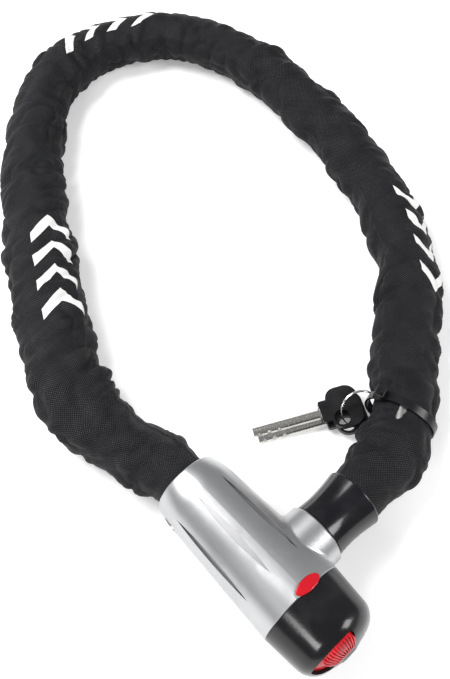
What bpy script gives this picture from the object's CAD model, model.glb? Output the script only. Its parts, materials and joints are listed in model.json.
"""Looks of the chain lock: cloth sleeve, materials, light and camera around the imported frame."""

import json
from math import cos, pi, sin

import bpy
import numpy as np
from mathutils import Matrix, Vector, noise


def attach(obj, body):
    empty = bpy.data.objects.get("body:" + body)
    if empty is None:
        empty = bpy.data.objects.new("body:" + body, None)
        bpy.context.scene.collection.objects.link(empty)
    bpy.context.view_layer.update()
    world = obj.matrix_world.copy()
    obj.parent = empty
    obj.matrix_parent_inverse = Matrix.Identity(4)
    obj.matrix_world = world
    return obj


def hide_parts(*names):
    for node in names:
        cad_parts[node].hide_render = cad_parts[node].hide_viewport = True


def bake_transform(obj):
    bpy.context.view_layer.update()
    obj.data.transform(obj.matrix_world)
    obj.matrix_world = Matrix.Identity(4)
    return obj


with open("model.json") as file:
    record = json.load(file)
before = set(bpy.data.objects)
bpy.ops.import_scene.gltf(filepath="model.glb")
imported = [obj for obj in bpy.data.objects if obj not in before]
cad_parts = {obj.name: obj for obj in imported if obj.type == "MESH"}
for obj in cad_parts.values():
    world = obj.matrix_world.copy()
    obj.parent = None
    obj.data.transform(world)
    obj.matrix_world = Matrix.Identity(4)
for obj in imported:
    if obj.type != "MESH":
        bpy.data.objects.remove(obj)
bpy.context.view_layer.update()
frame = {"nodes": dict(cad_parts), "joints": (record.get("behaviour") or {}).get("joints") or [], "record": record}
JOINTS = {joint["name"]: joint for joint in frame["joints"]}

# ---------------------------------------------------------------- places, in metres
# The drawing's origin: on the ground below the seam between the metal barrel and its cap.
SHUTTER_PIVOT = Vector(JOINTS["shutter_slide"]["pos_m"])
ORIGIN = np.array([SHUTTER_PIVOT.x - 0.025, SHUTTER_PIVOT.y, 0.0])
AXIS_Z = 0.0235
CHAIN_Z = 0.016
BARREL_R = 0.02345  # at the seam
BARREL_TAPER = 0.0423  # radius lost per metre towards the chain
GROOVED = (-0.0668, -0.0150)  # stretch of the barrel that has grooves

# Corners of the route that the chain follows, from the barrel to the ferrule.
ROUTE = np.array([
    (-62, 0, 23.5), (-88, -0.4, 23.2), (-122, -8.5, 16), (-160, -13, 16), (-210, 11, 16),
    (-264, 42, 16), (-318, 77, 16), (-358, 118, 16), (-367, 168, 16), (-343, 216, 16),
    (-296, 236, 16), (-240, 238, 16), (-182, 228, 16), (-127, 208, 16), (-84, 178, 16),
    (-55, 137, 16), (-28, 106, 16.5), (-18.5, 77, 23.5), (-18.5, 41, 23.5),
]) / 1000 + ORIGIN

SLEEVE_FROM = 0.0135  # arc length where the sleeve begins, inside the barrel's mouth
SLEEVE_TO_END = 0.0140  # and how far before the route's end it stops
MOUTH_LENGTH = 0.017  # over which it narrows to the barrel and the ferrule
CLOTH_T = 0.0009
HALF_WIDTH = 0.0195
SLACK_WIDTH = 0.0030  # more half width where the sleeve lies loose
SLACK_FROM = (0.05, 0.09)
SLACK_TO = (0.19, 0.25)
MIDDLE_Z = 0.0153
TOP_Z = 0.0310
LINK_PAIR = 0.0521  # length of one upright and one flat link
GROUND_GAP = 0.0003
DEEPEST_FOLD = 0.0021  # the links lie this far below the smooth cloth
MOUTH_R = 0.0146
RINGS_PER_M = 620
AROUND = 112
MEAN_R = 0.0175  # for distances round the sleeve
FLAT_WIDTH = 0.118  # once round the cloth
SWELL, ACROSS, DIAGONAL, SMALL = 0.0030, 0.0030, 0.0027, 0.0010  # heights of the folds
WEAVE_PITCH = 0.00135
SEAM_ANGLE = 2.45
SEAM_W = 0.0011
SEAM_H = 0.0005

TIE_CENTRE = np.array([-32.3, 110.3, 16]) / 1000 + ORIGIN
TIE_NECK = (0.0165, 0.0141)
TIE_SLANT = 0.325  # how far the band runs along the chain for each metre sideways
HINGES = [name for name in JOINTS if name.startswith("chain_bend")]


# ---------------------------------------------------------------- route
def spline_points(corners, per_span=40):
    """Smooth line (a uniform quadratic B-spline with its ends held) near the corners."""
    mids = (corners[:-1] + corners[1:]) / 2
    anchors = np.vstack([corners[:1], mids[1:-1], corners[-1:]])
    controls = corners[1:-1]
    line = []
    t = np.linspace(0, 1, per_span, endpoint=False)[:, None]
    for a, c, b in zip(anchors[:-1], controls, anchors[1:]):
        line.append((1 - t) ** 2 * a + 2 * t * (1 - t) * c + t**2 * b)
    return np.vstack(line + [corners[-1:]])


class Route:
    """Arc-length lookup of the smooth line: place, heading and sideways direction."""

    def __init__(self, corners):
        self.line = spline_points(corners)
        steps = np.linalg.norm(np.diff(self.line, axis=0), axis=1)
        self.s = np.concatenate([[0], np.cumsum(steps)])
        self.length = self.s[-1]
        heading = np.gradient(self.line, axis=0)
        heading[:, 2] = 0
        self.heading = heading / np.linalg.norm(heading, axis=1)[:, None]

    def at(self, s):
        place = np.array([np.interp(s, self.s, self.line[:, k]) for k in range(3)]).T
        heading = np.array([np.interp(s, self.s, self.heading[:, k]) for k in range(3)]).T
        heading /= np.linalg.norm(heading, axis=-1, keepdims=True)
        side = np.stack([-heading[..., 1], heading[..., 0], np.zeros_like(s)], axis=-1)
        return place, heading, side

    def nearest(self, point):
        return self.s[np.argmin(np.linalg.norm(self.line[:, :2] - np.array(point)[:2], axis=1))]


# ---------------------------------------------------------------- helpers
def smooth(x, low, high):
    t = np.clip((x - low) / (high - low), 0, 1)
    return t * t * (3 - 2 * t)


def noise_field(points, scale, seed):
    """Gentle noise from -1 to 1 at each point, with its own scale along each axis."""
    shift = Vector((seed * 13.7, seed * 7.3, seed * 3.1))
    return np.array([noise.noise(Vector(p * scale) + shift) for p in points])


def folds(points, scale, seed, sharp=2.0):
    """Creases: 0 on smooth cloth, towards 1 along the bottom of a fold."""
    ridge = 1 - np.abs(noise_field(points, scale, seed)) * 2.2
    return np.clip(ridge, 0, 1) ** sharp


def mesh_object(name, vertices, faces):
    mesh = bpy.data.meshes.new(name)
    mesh.from_pydata([tuple(v) for v in vertices], [], [tuple(f) for f in faces])
    mesh.update()
    obj = bpy.data.objects.new(name, mesh)
    bpy.context.scene.collection.objects.link(obj)
    for polygon in mesh.polygons:
        polygon.use_smooth = True
    return obj


# ---------------------------------------------------------------- sleeve
RING_HALF_T = 0.0010


class Obstacles:
    """What the cloth has to stay clear of: the split ring's disc and the bows on it."""

    def __init__(self, clearance):
        self.clearance = clearance
        ring = vertices_of("split_ring")
        self.centre = ring.mean(axis=0)
        spread = np.linalg.svd(ring - self.centre, full_matrices=False)
        self.normal = spread[2][2]
        self.radius = np.linalg.norm(ring - self.centre, axis=1).max()
        self.plates = []
        for name in ("key_bow_1", "key_bow_2"):
            plate = vertices_of(name)
            middle = plate.mean(axis=0)
            axes = np.linalg.svd(plate - middle, full_matrices=False)[2]
            local = (plate - middle) @ axes.T
            low, high = local.min(axis=0), local.max(axis=0)
            self.plates.append((middle, axes, low, high))

    def blocked(self, points):
        offset = points - self.centre
        height = np.abs(offset @ self.normal)
        flat = np.sqrt(np.maximum((offset**2).sum(axis=-1) - height**2, 0))
        hit = (height < RING_HALF_T + self.clearance) & (flat < self.radius + self.clearance)
        for middle, axes, low, high in self.plates:
            local = (points - middle) @ axes.T
            inside = (local > low - self.clearance) & (local < high + self.clearance)
            hit |= inside.all(axis=-1)
        return hit


def vertices_of(node):
    mesh = frame["nodes"][node].data
    flat = np.zeros(len(mesh.vertices) * 3)
    mesh.vertices.foreach_get("co", flat)
    return flat.reshape(-1, 3)


def wrinkles(s, angle, bend, seed):
    """Height of the cloth over its smooth form, in metres."""
    lean = s + 0.006 * np.sin(angle + 9 * s)
    points = np.stack([lean, MEAN_R * np.cos(angle), MEAN_R * np.sin(angle)], axis=-1)
    flat = points.reshape(-1, 3)
    swell = noise_field(flat, np.array([26, 38, 38]), seed).reshape(s.shape)
    across = folds(flat, np.array([70, 24, 24]), seed + 1, 2.6).reshape(s.shape)
    slant = flat + np.array([0.5, 0, 0]) * flat[:, [2]]
    diagonal = folds(slant, np.array([52, 50, 50]), seed + 2, 3.0).reshape(s.shape)
    small = folds(flat, np.array([130, 70, 70]), seed + 3, 1.6).reshape(s.shape)
    inner_side = smooth(bend * np.cos(angle), 0.0, 5.0)
    height = SWELL * swell - ACROSS * across * (0.65 + 0.9 * inner_side)
    return height - DIAGONAL * diagonal - SMALL * small


def sleeve_grid(route):
    """Rows of points along the sleeve, with arc length and angle for each."""
    end = route.length - SLEEVE_TO_END
    rows = int((end - SLEEVE_FROM) * RINGS_PER_M)
    s1 = np.linspace(SLEEVE_FROM, end, rows)
    a1 = np.linspace(0, 2 * pi, AROUND, endpoint=False)
    s, angle = np.meshgrid(s1, a1, indexing="ij")
    place, heading, side = route.at(s1)
    bend = np.gradient(np.unwrap(np.arctan2(heading[:, 1], heading[:, 0])), s1)
    mouth = np.maximum(1 - smooth(s1, 0.021, 0.021 + MOUTH_LENGTH),
                       smooth(s1, end - 0.003 - MOUTH_LENGTH, end - 0.003))[:, None]
    height = wrinkles(s, angle, bend[:, None], 3) * (1 - mouth)
    under = smooth(-np.sin(angle), 0.35, 0.85)
    height *= 1 - 0.75 * under
    depth = -DEEPEST_FOLD * (1 + 1.1 * np.cos(angle) ** 2)
    height = np.where(height < 0, depth * np.tanh(height / depth), height)

    x, z = section(s, angle, height, place, mouth)
    x, z = drawn_in_by_tie(route, s, angle, x, z)
    ground = GROUND_GAP + 0.0004 * (1 + noise_field(
        np.stack([s, x, z], axis=-1).reshape(-1, 3), np.array([60, 60, 60]), 11).reshape(s.shape))
    z = np.where(z < ground, ground + 0.02 * (z - ground), z)
    seam = np.exp(-((angle - SEAM_ANGLE) * MEAN_R / SEAM_W) ** 2)
    x += SEAM_H * seam * np.cos(angle)
    z += SEAM_H * seam * np.sin(angle)
    points = place[:, None, :] + side[:, None, :] * x[..., None]
    points[..., 2] = z
    return s, angle, clear_of_ring(points, place)


def section(s, angle, height, place, mouth):
    """Sideways place and height of the cloth: wide where it lies free, round in the mouths."""
    phase = 2 * pi * (s - 0.0172) / LINK_PAIR
    slack = smooth(s, *SLACK_FROM) * (1 - smooth(s, *SLACK_TO))
    half_w = HALF_WIDTH + SLACK_WIDTH * slack - 0.0009 * np.cos(phase)
    top = TOP_Z + 0.0007 * np.cos(phase)
    x = (half_w + height) * np.cos(angle)
    z = MIDDLE_Z + (top - MIDDLE_Z + height) * np.sin(angle)
    round_r = MOUTH_R + height
    x = (1 - mouth) * x + mouth * round_r * np.cos(angle)
    z = (1 - mouth) * z + mouth * (place[:, None, 2] + round_r * np.sin(angle))
    lifted = np.maximum(place[:, 2] - CHAIN_Z, 0)[:, None] * (1 - mouth)
    return x, z + lifted * 0.9


def drawn_in_by_tie(route, s, angle, x, z):
    """Gathers the cloth towards the cable tie, with pleats on both sides of it."""
    along = s - route.nearest(TIE_CENTRE) - TIE_SLANT * x
    pull = np.exp(-(np.abs(along) / 0.0125) ** 2.2)
    held = smooth(-np.abs(along), -0.0075, -0.0030)
    neck = 1 / np.sqrt((np.cos(angle) / TIE_NECK[0]) ** 2 + (np.sin(angle) / TIE_NECK[1]) ** 2)
    radius = np.hypot(x, z - CHAIN_Z)
    pleat = 0.0011 * np.cos(13 * angle + 2.2 * np.sin(3 * angle))
    pleat *= smooth(np.abs(along), 0.003, 0.009)
    wanted = neck + pleat + 0.10 * (radius - neck)
    factor = 1 + np.maximum(0.93 * pull, held) * (wanted / radius - 1)
    return x * factor, CHAIN_Z + (z - CHAIN_Z) * factor


def clear_of_ring(points, place):
    """Presses the cloth in where the ring and the keys' bows lie against it."""
    obstacles = Obstacles(0.0013)
    core = np.repeat(place[:, None, :], points.shape[1], axis=1)
    inward = core - points
    inward /= np.linalg.norm(inward, axis=-1, keepdims=True)
    push = np.zeros(points.shape[:2])
    for _ in range(26):
        push[obstacles.blocked(points + inward * push[..., None])] += 0.0005
    raw = push.copy()
    for _ in range(10):
        spread = push.copy()
        spread[1:-1] = (push[:-2] + 2 * push[1:-1] + push[2:]) / 4
        spread = (np.roll(spread, 1, 1) + 2 * spread + np.roll(spread, -1, 1)) / 4
        push = np.maximum(spread, raw)
    return points + inward * push[..., None]


def grid_normals(points):
    along = np.gradient(points, axis=0)
    around = (np.roll(points, -1, 1) - np.roll(points, 1, 1)) / 2
    normal = np.cross(around, along)
    normal /= np.maximum(np.linalg.norm(normal, axis=-1, keepdims=True), 1e-9)
    return normal


def tube_piece(name, outer, inner, normal, s, angle):
    """A closed length of the sleeve with its two faces, rims and cloth coordinates."""
    rows, count = outer.shape[:2]
    vertices = np.vstack([outer.reshape(-1, 3), inner.reshape(-1, 3)])
    shift = rows * count
    faces = []
    corners = []
    v_step = FLAT_WIDTH / count
    for i in range(rows - 1):
        for j in range(count):
            k = (j + 1) % count
            quad = (i * count + j, i * count + k, (i + 1) * count + k, (i + 1) * count + j)
            uv = [(s[i, 0], j * v_step), (s[i, 0], (j + 1) * v_step),
                  (s[i + 1, 0], (j + 1) * v_step), (s[i + 1, 0], j * v_step)]
            faces.append(quad)
            corners += uv
            faces.append(tuple(shift + q for q in quad)[::-1])
            corners += uv[::-1]
    for i, flip in ((0, False), (rows - 1, True)):
        for j in range(count):
            k = (j + 1) % count
            quad = (i * count + j, i * count + k, shift + i * count + k, shift + i * count + j)
            faces.append(quad if flip else quad[::-1])
            corners += [(s[i, 0], j * v_step)] * 4
    obj = mesh_object(name, vertices, faces)
    mesh = obj.data
    cloth = mesh.attributes.new("cloth", "FLOAT_VECTOR", "CORNER")
    flat = np.zeros((len(corners), 3))
    flat[:, :2] = corners
    cloth.data.foreach_set("vector", flat.ravel())
    normals = np.vstack([normal.reshape(-1, 3), -normal.reshape(-1, 3)])
    mesh.normals_split_custom_set_from_vertices([tuple(n) for n in normals])
    return obj


def build_sleeve(route, cloth):
    """One sleeve, cut in the middle of each stretch of chain, each part bending at one hinge."""
    s, angle, outer = sleeve_grid(route)
    normal = grid_normals(outer)
    if (normal[len(normal) // 2, AROUND // 4, 2]) < 0:
        normal = -normal
    inner = outer - normal * CLOTH_T
    inner[..., 2] = np.maximum(inner[..., 2], GROUND_GAP + 0.6 * CLOTH_T)
    hinge_s = [route.nearest(JOINTS[name]["pos_m"]) for name in HINGES]
    cuts = [s[0, 0]] + [(a + b) / 2 for a, b in zip(hinge_s, hinge_s[1:])] + [s[-1, 0]]
    cut_rows = [int(np.argmin(np.abs(s[:, 0] - cut))) for cut in cuts]
    pieces = []
    for number, name in enumerate(HINGES):
        rows = slice(cut_rows[number], cut_rows[number + 1] + 1)
        piece = tube_piece(f"cloth_sleeve_{number + 1}", outer[rows], inner[rows],
                           normal[rows], s[rows], angle[rows])
        piece.data.materials.append(cloth)
        heading = route.at(np.array([hinge_s[number]]))[1][0]
        reach = 0.92 * min(hinge_s[number] - s[rows][0, 0], s[rows][-1, 0] - hinge_s[number])
        reach = min(reach, 0.034)
        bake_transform(piece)
        nodes = [f"sleeve_{number}"]
        if number == len(HINGES) - 1:
            nodes.append(f"sleeve_{number + 1}")
        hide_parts(*nodes)
        pieces.append(piece)
    return pieces


# ---------------------------------------------------------------- materials
class Shader:
    """A Principled material and short ways to wire its nodes."""

    def __init__(self, name, color, roughness, metallic=0.0, specular=0.5):
        self.material = bpy.data.materials.new(name)
        self.material.use_nodes = True
        self.nodes = self.material.node_tree.nodes
        self.links = self.material.node_tree.links
        self.bsdf = self.nodes["Principled BSDF"]
        self.set("Base Color", (*color, 1))
        self.set("Roughness", roughness)
        self.set("Metallic", metallic)
        self.set("Specular IOR Level", specular)

    def set(self, socket, value):
        self.bsdf.inputs[socket].default_value = value

    def link(self, output, target):
        self.links.new(output, target)

    def place(self):
        return self.nodes.new("ShaderNodeTexCoord").outputs["Object"]

    def math(self, operation, a, b=0.0, clamp=False):
        node = self.nodes.new("ShaderNodeMath")
        node.operation = operation
        node.use_clamp = clamp
        for socket, value in zip(node.inputs, (a, b)):
            if isinstance(value, (int, float)):
                socket.default_value = value
            else:
                self.link(value, socket)
        return node.outputs[0]

    def scaled(self, vector, scale):
        node = self.nodes.new("ShaderNodeVectorMath")
        node.operation = "MULTIPLY"
        self.link(vector, node.inputs[0])
        node.inputs[1].default_value = scale
        return node.outputs[0]

    def noise(self, scale, detail=4.0, stretch=(1, 1, 1), vector=None):
        node = self.nodes.new("ShaderNodeTexNoise")
        node.inputs["Scale"].default_value = scale
        node.inputs["Detail"].default_value = detail
        self.link(self.scaled(vector or self.place(), stretch), node.inputs["Vector"])
        return node.outputs["Fac"]

    def ramp(self, value, low, high, to_low, to_high):
        node = self.nodes.new("ShaderNodeMapRange")
        for socket, number in zip(list(node.inputs)[1:5], (low, high, to_low, to_high)):
            socket.default_value = number
        self.link(value, node.inputs[0])
        return node.outputs[0]

    def mix(self, value, color_a, color_b):
        node = self.nodes.new("ShaderNodeMix")
        node.data_type = "RGBA"
        sockets = [i for i in node.inputs if i.type == "RGBA"]
        for socket, color in zip(sockets, (color_a, color_b)):
            if isinstance(color, tuple):
                socket.default_value = (*color, 1)
            else:
                self.link(color, socket)
        self.link(value, node.inputs[0])
        return [o for o in node.outputs if o.type == "RGBA"][0]

    def bump(self, height, strength, distance):
        node = self.nodes.new("ShaderNodeBump")
        node.inputs["Strength"].default_value = strength
        node.inputs["Distance"].default_value = distance
        self.link(height, node.inputs["Height"])
        self.link(node.outputs["Normal"], self.bsdf.inputs["Normal"])


def cast_metal():
    """Satin painted zinc: fine grain, faint cloudiness and darker paint in the grooves."""
    shader = Shader("cast_metal", (0.46, 0.465, 0.475), 0.36, 0.92)
    cloud = shader.noise(45, 3)
    tone = shader.mix(shader.ramp(cloud, 0.3, 0.7, 0, 1), (0.43, 0.435, 0.445), (0.50, 0.505, 0.51))
    tone = shader.mix(groove_mask(shader), tone, (0.26, 0.26, 0.265))
    shader.link(tone, shader.bsdf.inputs["Base Color"])
    grain = shader.noise(2600, 2)
    shader.link(shader.ramp(grain, 0.3, 0.7, 0.30, 0.42), shader.bsdf.inputs["Roughness"])
    shader.bump(grain, 0.16, 0.0002)
    return shader.material


def groove_mask(shader):
    """1 in the long grooves: below the barrel's taper, away from its rounded end."""
    split = shader.nodes.new("ShaderNodeSeparateXYZ")
    shader.link(shader.place(), split.inputs[0])
    x = shader.math("SUBTRACT", split.outputs[0], float(ORIGIN[0]))
    y = shader.math("SUBTRACT", split.outputs[1], float(ORIGIN[1]))
    z = shader.math("SUBTRACT", split.outputs[2], AXIS_Z)
    reach = shader.math("SQRT", shader.math(
        "ADD", shader.math("MULTIPLY", y, y), shader.math("MULTIPLY", z, z)))
    side = shader.math("ADD", shader.math("MULTIPLY", x, BARREL_TAPER), BARREL_R)
    depth = shader.math("SUBTRACT", side, reach)
    below = shader.ramp(depth, 0.00012, 0.00045, 0.0, 1.0)
    outside = shader.math("LESS_THAN", depth, 0.0016)
    inside_x = shader.math("MULTIPLY", shader.math("GREATER_THAN", x, GROOVED[0]),
                           shader.math("LESS_THAN", x, GROOVED[1]))
    return shader.math("MULTIPLY", shader.math("MULTIPLY", below, outside), inside_x)


def machined(name, color, roughness):
    """Turned steel or brass: fine rings and small stains."""
    shader = Shader(name, color, roughness, 1.0)
    lines = shader.noise(900, 2, (6, 1, 1))
    darker = tuple(channel * 0.72 for channel in color)
    shader.link(shader.mix(shader.noise(220, 5), darker, color), shader.bsdf.inputs["Base Color"])
    shader.link(shader.ramp(lines, 0.3, 0.7, roughness * 0.8, roughness * 1.3),
                shader.bsdf.inputs["Roughness"])
    shader.bump(lines, 0.2, 0.0002)
    return shader.material


def moulded(name, color, roughness, grain_scale=700, strength=0.12, coat=0.0):
    """Moulded plastic: orange peel, handling marks and a small change of tone."""
    shader = Shader(name, color, roughness)
    shader.set("Specular IOR Level", 0.32)
    shader.set("Coat Weight", coat)
    shader.set("Coat Roughness", 0.12)
    peel = shader.noise(grain_scale, 2)
    marks = shader.noise(90, 6)
    lighter = tuple(min(channel * 1.5 + 0.004, 1) for channel in color)
    shader.link(shader.mix(shader.ramp(marks, 0.45, 0.75, 0, 1), color, lighter),
                shader.bsdf.inputs["Base Color"])
    shader.link(shader.ramp(marks, 0.3, 0.8, roughness * 0.85, roughness * 1.35),
                shader.bsdf.inputs["Roughness"])
    shader.bump(peel, strength, 0.0002)
    return shader.material


MARKS = ((0.185, 0.037), (0.398, 0.022), (0.690, 0.014))  # middles, along and round the cloth
MARK_LENGTH = 0.072  # of each row of four
MARK_HALF_H = 0.0105


def woven_nylon():
    """Black plain weave with bright filaments, a stitched seam and plain white chevrons."""
    shader = Shader("woven_nylon", (0.010, 0.010, 0.011), 0.6, 0.0, 0.12)
    shader.set("Sheen Weight", 0.02)
    shader.set("Sheen Roughness", 0.4)
    attribute = shader.nodes.new("ShaderNodeAttribute")
    attribute.attribute_name = "cloth"
    split = shader.nodes.new("ShaderNodeSeparateXYZ")
    shader.link(attribute.outputs["Vector"], split.inputs[0])
    u, v = split.outputs[0], split.outputs[1]
    wave = 2 * pi / WEAVE_PITCH

    def hump(coordinate, shift):
        scaled = shader.math("ADD", shader.math("MULTIPLY", coordinate, wave), shift)
        turned = shader.math("COSINE", scaled)
        return shader.math("MULTIPLY", shader.math("ADD", turned, 1.0), 0.5)

    warp = shader.math("MULTIPLY", hump(u, 0.0), hump(v, 0.0))
    weft = shader.math("MULTIPLY", hump(u, pi), hump(v, pi))
    weave = shader.math("ADD", warp, weft)
    fibre = shader.noise(3200, 2)
    patches = shader.noise(70, 4)
    glint = shader.math("MULTIPLY", shader.math("POWER", weave, 3.0),
                        shader.ramp(fibre, 0.35, 0.70, 0.25, 1.3))
    glint = shader.math("MULTIPLY", glint, shader.ramp(patches, 0.3, 0.7, 0.55, 1.1), True)
    cloth = shader.mix(glint, (0.0012, 0.0012, 0.0016), (0.085, 0.087, 0.094))
    white = shader.mix(weave, (0.62, 0.62, 0.60), (0.86, 0.86, 0.85))
    shader.link(shader.mix(chevrons(shader, u, v), cloth, white), shader.bsdf.inputs["Base Color"])
    shader.link(shader.ramp(weave, 0, 1, 0.72, 0.42), shader.bsdf.inputs["Roughness"])
    shader.bump(shader.math("ADD", weave, shader.math("MULTIPLY", fibre, 0.3)), 0.7, 0.0003)
    return shader.material


def chevrons(shader, u, v):
    """Mask of the printed chevrons: four arrowheads in a row at each place."""
    total = None
    for middle, v_middle in MARKS:
        across = shader.math("ABSOLUTE", shader.math("SUBTRACT", v, v_middle))
        along = shader.math("SUBTRACT", u, middle - MARK_LENGTH / 2)
        slid = shader.math("ADD", along, across)
        phase = shader.math("PINGPONG", slid, MARK_LENGTH / 8)
        stripe = shader.math("GREATER_THAN", phase, 0.0055)
        height = shader.math("LESS_THAN", across, MARK_HALF_H)
        inside = shader.math("MULTIPLY", shader.math("GREATER_THAN", slid, 0.0),
                             shader.math("LESS_THAN", slid, MARK_LENGTH))
        mask = shader.math("MULTIPLY", shader.math("MULTIPLY", stripe, height), inside)
        total = mask if total is None else shader.math("MAXIMUM", total, mask)
    return total


def give_materials(materials):
    """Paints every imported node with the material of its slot."""
    slots = {part["node"]: part["material_slot"] for part in frame["record"]["subparts"]}
    for name, node in frame["nodes"].items():
        node.data.materials.clear()
        node.data.materials.append(materials[slots[name]])


# ---------------------------------------------------------------- small pieces
def tube_along(name, points, radius, sides=14):
    """Round tube through the points, closed at both ends."""
    points = np.asarray(points)
    tangent = np.gradient(points, axis=0)
    tangent /= np.linalg.norm(tangent, axis=1)[:, None]
    normal = np.cross(tangent[0], [0.3, 0.2, 0.9])
    vertices = []
    for point, direction in zip(points, tangent):
        normal = normal - direction * (normal @ direction)
        normal /= np.linalg.norm(normal)
        other = np.cross(direction, normal)
        for k in range(sides):
            turn = 2 * pi * k / sides
            vertices.append(point + radius * (cos(turn) * normal + sin(turn) * other))
    faces = []
    for i in range(len(points) - 1):
        for k in range(sides):
            n = (k + 1) % sides
            faces.append((i * sides + k, i * sides + n, (i + 1) * sides + n, (i + 1) * sides + k))
    faces.append(tuple(range(sides))[::-1])
    last = (len(points) - 1) * sides
    faces.append(tuple(last + k for k in range(sides)))
    return mesh_object(name, vertices, faces)


COIL_WIRE_R = 0.00044


def split_ring(material):
    """Two coils of spring steel wire, one on the other."""
    ring = vertices_of("split_ring")
    centre = ring.mean(axis=0)
    axes = np.linalg.svd(ring - centre, full_matrices=False)[2]
    radial = np.linalg.norm(ring - centre, axis=1)
    middle_r = (radial.max() + radial.min()) / 2
    turns = np.linspace(0, 4 * pi * 0.985, 260)
    rise = (smooth(turns, 2 * pi - 0.35, 2 * pi + 0.35) - 0.5) * 2 * COIL_WIRE_R
    points = [centre + middle_r * (cos(t) * axes[0] + sin(t) * axes[1]) + h * axes[2]
              for t, h in zip(turns, rise)]
    piece = tube_along("split_ring_coil", points, COIL_WIRE_R)
    piece.data.materials.append(material)
    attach(piece, "ring")
    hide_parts("split_ring")


# ---------------------------------------------------------------- stage
def stage():
    bpy.ops.mesh.primitive_plane_add(size=6, location=(0, 0, 0))
    floor = bpy.context.object
    floor.name = "floor"
    shader = Shader("pale_floor", (0.93, 0.93, 0.93), 0.6, 0.0, 0.2)
    shader.link(shader.mix(shader.noise(3, 2), (0.93, 0.93, 0.93), (0.96, 0.96, 0.96)),
                shader.bsdf.inputs["Base Color"])
    shader.set("Emission Color", (1, 1, 1, 1))
    shader.set("Emission Strength", 0.22)
    floor.data.materials.append(shader.material)

    world = bpy.data.worlds.new("studio")
    bpy.context.scene.world = world
    world.use_nodes = True
    background = world.node_tree.nodes["Background"]
    background.inputs["Color"].default_value = (1, 1, 1, 1)
    background.inputs["Strength"].default_value = 0.30
    area_light("key", (-0.65, -0.35, 0.95), (0, 0, 0), 0.75, 18)
    area_light("fill", (0.8, 0.55, 0.8), (0, 0, 0), 0.5, 9)
    area_light("strip", (0.35, -0.9, 0.6), (0.15, -0.1, 0), 0.25, 3)
    bpy.context.scene.view_settings.view_transform = "Standard"


def area_light(name, place, target, size, power):
    light = bpy.data.lights.new(name, "AREA")
    light.size = size
    light.energy = power
    obj = bpy.data.objects.new(name, light)
    obj.location = place
    obj.rotation_euler = (Vector(target) - Vector(place)).to_track_quat("-Z", "Y").to_euler()
    bpy.context.scene.collection.objects.link(obj)


CAMERA_PLACE = (0.0427, -0.0879, 0.427)
CAMERA_TARGET = (-0.1381, 0.0796, 0.0)
CAMERA_LENS = 45.07


def camera():
    place = Vector(CAMERA_PLACE) + Vector(ORIGIN)
    target = Vector(CAMERA_TARGET) + Vector(ORIGIN)
    data = bpy.data.cameras.new("photo_view")
    data.lens = CAMERA_LENS
    data.sensor_width = 36
    data.clip_start = 0.01
    obj = bpy.data.objects.new("photo_view", data)
    obj.location = place
    obj.rotation_euler = (target - place).to_track_quat("-Z", "Y").to_euler()
    bpy.context.scene.collection.objects.link(obj)
    bpy.context.scene.camera = obj


# ---------------------------------------------------------------- build
steel = machined("turned_steel", (0.46, 0.46, 0.47), 0.30)
finishes = {
    "satin_metal": cast_metal(),
    "black_cap": moulded("black_cap", (0.006, 0.006, 0.007), 0.20, coat=0.1),
    "black_sheath": moulded("black_sheath", (0.005, 0.005, 0.007), 0.16, coat=0.15),
    "red_shutter": moulded("red_shutter", (0.50, 0.006, 0.014), 0.32, coat=0.2),
    "red_lens": moulded("red_lens", (0.46, 0.004, 0.012), 0.22, coat=0.4),
    "hard_steel": steel,
    "brass": machined("brass", (0.72, 0.55, 0.27), 0.28),
    "link_steel": machined("link_steel", (0.50, 0.50, 0.48), 0.38),
    "tie_nylon": moulded("tie_nylon", (0.006, 0.006, 0.007), 0.24),
    "ring_steel": machined("ring_steel", (0.88, 0.88, 0.87), 0.12),
    "key_steel": machined("key_steel", (0.70, 0.69, 0.66), 0.22),
    "key_plastic": moulded("key_plastic", (0.007, 0.007, 0.008), 0.30),
    "sleeve_cloth": woven_nylon(),
}
give_materials(finishes)
camera()
stage()
build_sleeve(Route(ROUTE), finishes["sleeve_cloth"])
split_ring(finishes["ring_steel"])
